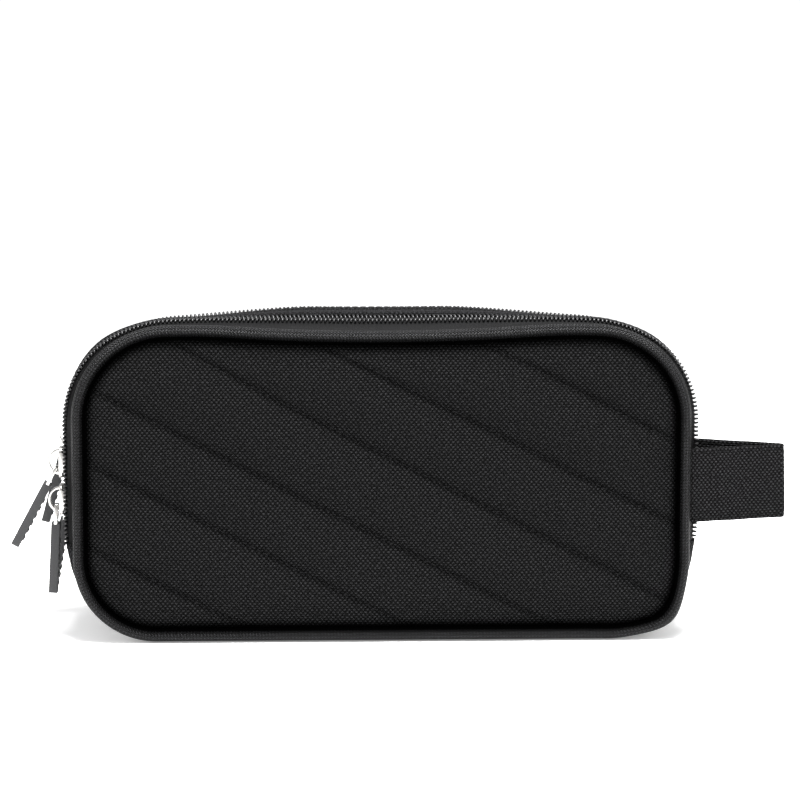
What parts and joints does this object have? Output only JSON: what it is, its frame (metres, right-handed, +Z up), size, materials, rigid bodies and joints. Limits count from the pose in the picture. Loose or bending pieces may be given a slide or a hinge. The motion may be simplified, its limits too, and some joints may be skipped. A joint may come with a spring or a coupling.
{
  "type": "cable organizer pouch",
  "caption": "Padded two-compartment zip pouch with corded piping, opening side panels, inner pockets, hanging zip pulls and a side wrist strap.",
  "frame": {"origin": "centre of the flat bottom, midway between the ends and between the two big panels", "axes": "+X to the right end with the wrist strap, -Y out of the front panel, +Z up"},
  "size_m": [0.2762, 0.0752, 0.1146],
  "materials": {
    "shell_cloth": "black coarse oxford weave",
    "foam": "closed padding",
    "lining": "grey plain nylon lining",
    "piping_cloth": "black woven bias strip over cord",
    "zip_tape": "black herringbone tape",
    "zip_coil": "black nylon coil",
    "slider_metal": "bright nickel plate",
    "pull_rubber": "matt moulded rubber",
    "strap_cloth": "black folded oxford strap",
    "mesh_cloth": "grey ribbed stretch cloth",
    "elastic": "grey woven elastic",
    "binding": "folded seam"
  },
  "bodies": {
    "pouch": {"back_divider_lining": "lining", "back_foam_lower": "foam", "back_gusset_bottom": "shell_cloth", "back_gusset_lining": "lining", "back_gusset_strip": "shell_cloth", "back_lining_lower": "lining", "back_panel_lower": "shell_cloth", "back_piping_lower": "piping_cloth", "back_slip_pocket": "lining", "back_zip_coil_fixed": "zip_coil", "back_zip_coil_lower": "zip_coil", "back_zip_stops": "slider_metal", "back_zip_tape_fixed": "zip_tape", "back_zip_tape_lower": "zip_tape", "divider_board": "foam", "elastic_loops": "elastic", "front_divider_lining": "lining", "front_foam_lower": "foam", "front_gusset_bottom": "shell_cloth", "front_gusset_lining": "lining", "front_gusset_strip": "shell_cloth", "front_lining_lower": "lining", "front_panel_lower": "shell_cloth", "front_piping_lower": "piping_cloth", "front_pocket_left": "mesh_cloth", "front_pocket_right": "mesh_cloth", "front_zip_coil_fixed": "zip_coil", "front_zip_coil_lower": "zip_coil", "front_zip_stops": "slider_metal", "front_zip_tape_fixed": "zip_tape", "front_zip_tape_lower": "zip_tape", "middle_binding": "binding", "strap_ends": "strap_cloth"},
    "front_flap": {"front_panel_upper": "shell_cloth", "front_foam_upper": "foam", "front_lining_upper": "lining", "front_piping_upper": "piping_cloth", "front_zip_tape_upper": "zip_tape", "front_zip_coil_upper": "zip_coil"},
    "back_flap": {"back_panel_upper": "shell_cloth", "back_foam_upper": "foam", "back_lining_upper": "lining", "back_piping_upper": "piping_cloth", "back_zip_tape_upper": "zip_tape", "back_zip_coil_upper": "zip_coil"},
    "strap": {"wrist_strap": "strap_cloth"},
    "front_upper_zip_slider": {"front_upper_slider": "slider_metal"},
    "front_upper_pull": {"front_upper_pull_link": "slider_metal", "front_upper_pull_tab": "pull_rubber"},
    "front_lower_zip_slider": {"front_lower_slider": "slider_metal"},
    "front_lower_pull": {"front_lower_pull_link": "slider_metal", "front_lower_pull_tab": "pull_rubber"},
    "back_upper_zip_slider": {"back_upper_slider": "slider_metal"},
    "back_upper_pull": {"back_upper_pull_link": "slider_metal", "back_upper_pull_tab": "pull_rubber"},
    "back_lower_zip_slider": {"back_lower_slider": "slider_metal"},
    "back_lower_pull": {"back_lower_pull_link": "slider_metal", "back_lower_pull_tab": "pull_rubber"}
  },
  "joints": [
    {"name": "front_flap_fold", "type": "hinge", "parent": "pouch", "child": "front_flap", "pos_m": [0, -0.0376, 0.074], "axis": [1, 0, 0], "range_deg": [0, 75]},
    {"name": "back_flap_fold", "type": "hinge", "parent": "pouch", "child": "back_flap", "pos_m": [0, 0.0376, 0.074], "axis": [-1, 0, 0], "range_deg": [0, 75]},
    {"name": "strap_swing", "type": "hinge", "parent": "pouch", "child": "strap", "pos_m": [0.11, 0, 0.0549], "axis": [0, 1, 0], "range_deg": [-20, 20]},
    {"name": "front_upper_zip_slide", "type": "slide", "parent": "pouch", "child": "front_upper_zip_slider", "axis": [0, 0, -1], "range_m": [-0.008, 0]},
    {"name": "front_upper_pull_swing", "type": "hinge", "parent": "front_upper_zip_slider", "child": "front_upper_pull", "pos_m": [-0.1149, -0.0215, 0.0606], "axis": [0, 1, 0], "range_deg": [0, 90]},
    {"name": "front_lower_zip_slide", "type": "slide", "parent": "pouch", "child": "front_lower_zip_slider", "axis": [0, 0, -1], "range_m": [0, 0.005]},
    {"name": "front_lower_pull_swing", "type": "hinge", "parent": "front_lower_zip_slider", "child": "front_lower_pull", "pos_m": [-0.1149, -0.0215, 0.0472], "axis": [0, 1, 0], "range_deg": [-3, 30]},
    {"name": "back_upper_zip_slide", "type": "slide", "parent": "pouch", "child": "back_upper_zip_slider", "axis": [0, 0, -1], "range_m": [-0.0035, 0]},
    {"name": "back_upper_pull_swing", "type": "hinge", "parent": "back_upper_zip_slider", "child": "back_upper_pull", "pos_m": [-0.1149, 0.0215, 0.065], "axis": [0, 1, 0], "range_deg": [0, 100]},
    {"name": "back_lower_zip_slide", "type": "slide", "parent": "pouch", "child": "back_lower_zip_slider", "axis": [0, 0, -1], "range_m": [-0.0008, 0.0012]},
    {"name": "back_lower_pull_swing", "type": "hinge", "parent": "back_lower_zip_slider", "child": "back_lower_pull", "pos_m": [-0.1149, 0.0215, 0.042], "axis": [0, 1, 0], "range_deg": [-10, 13]}
  ]
}
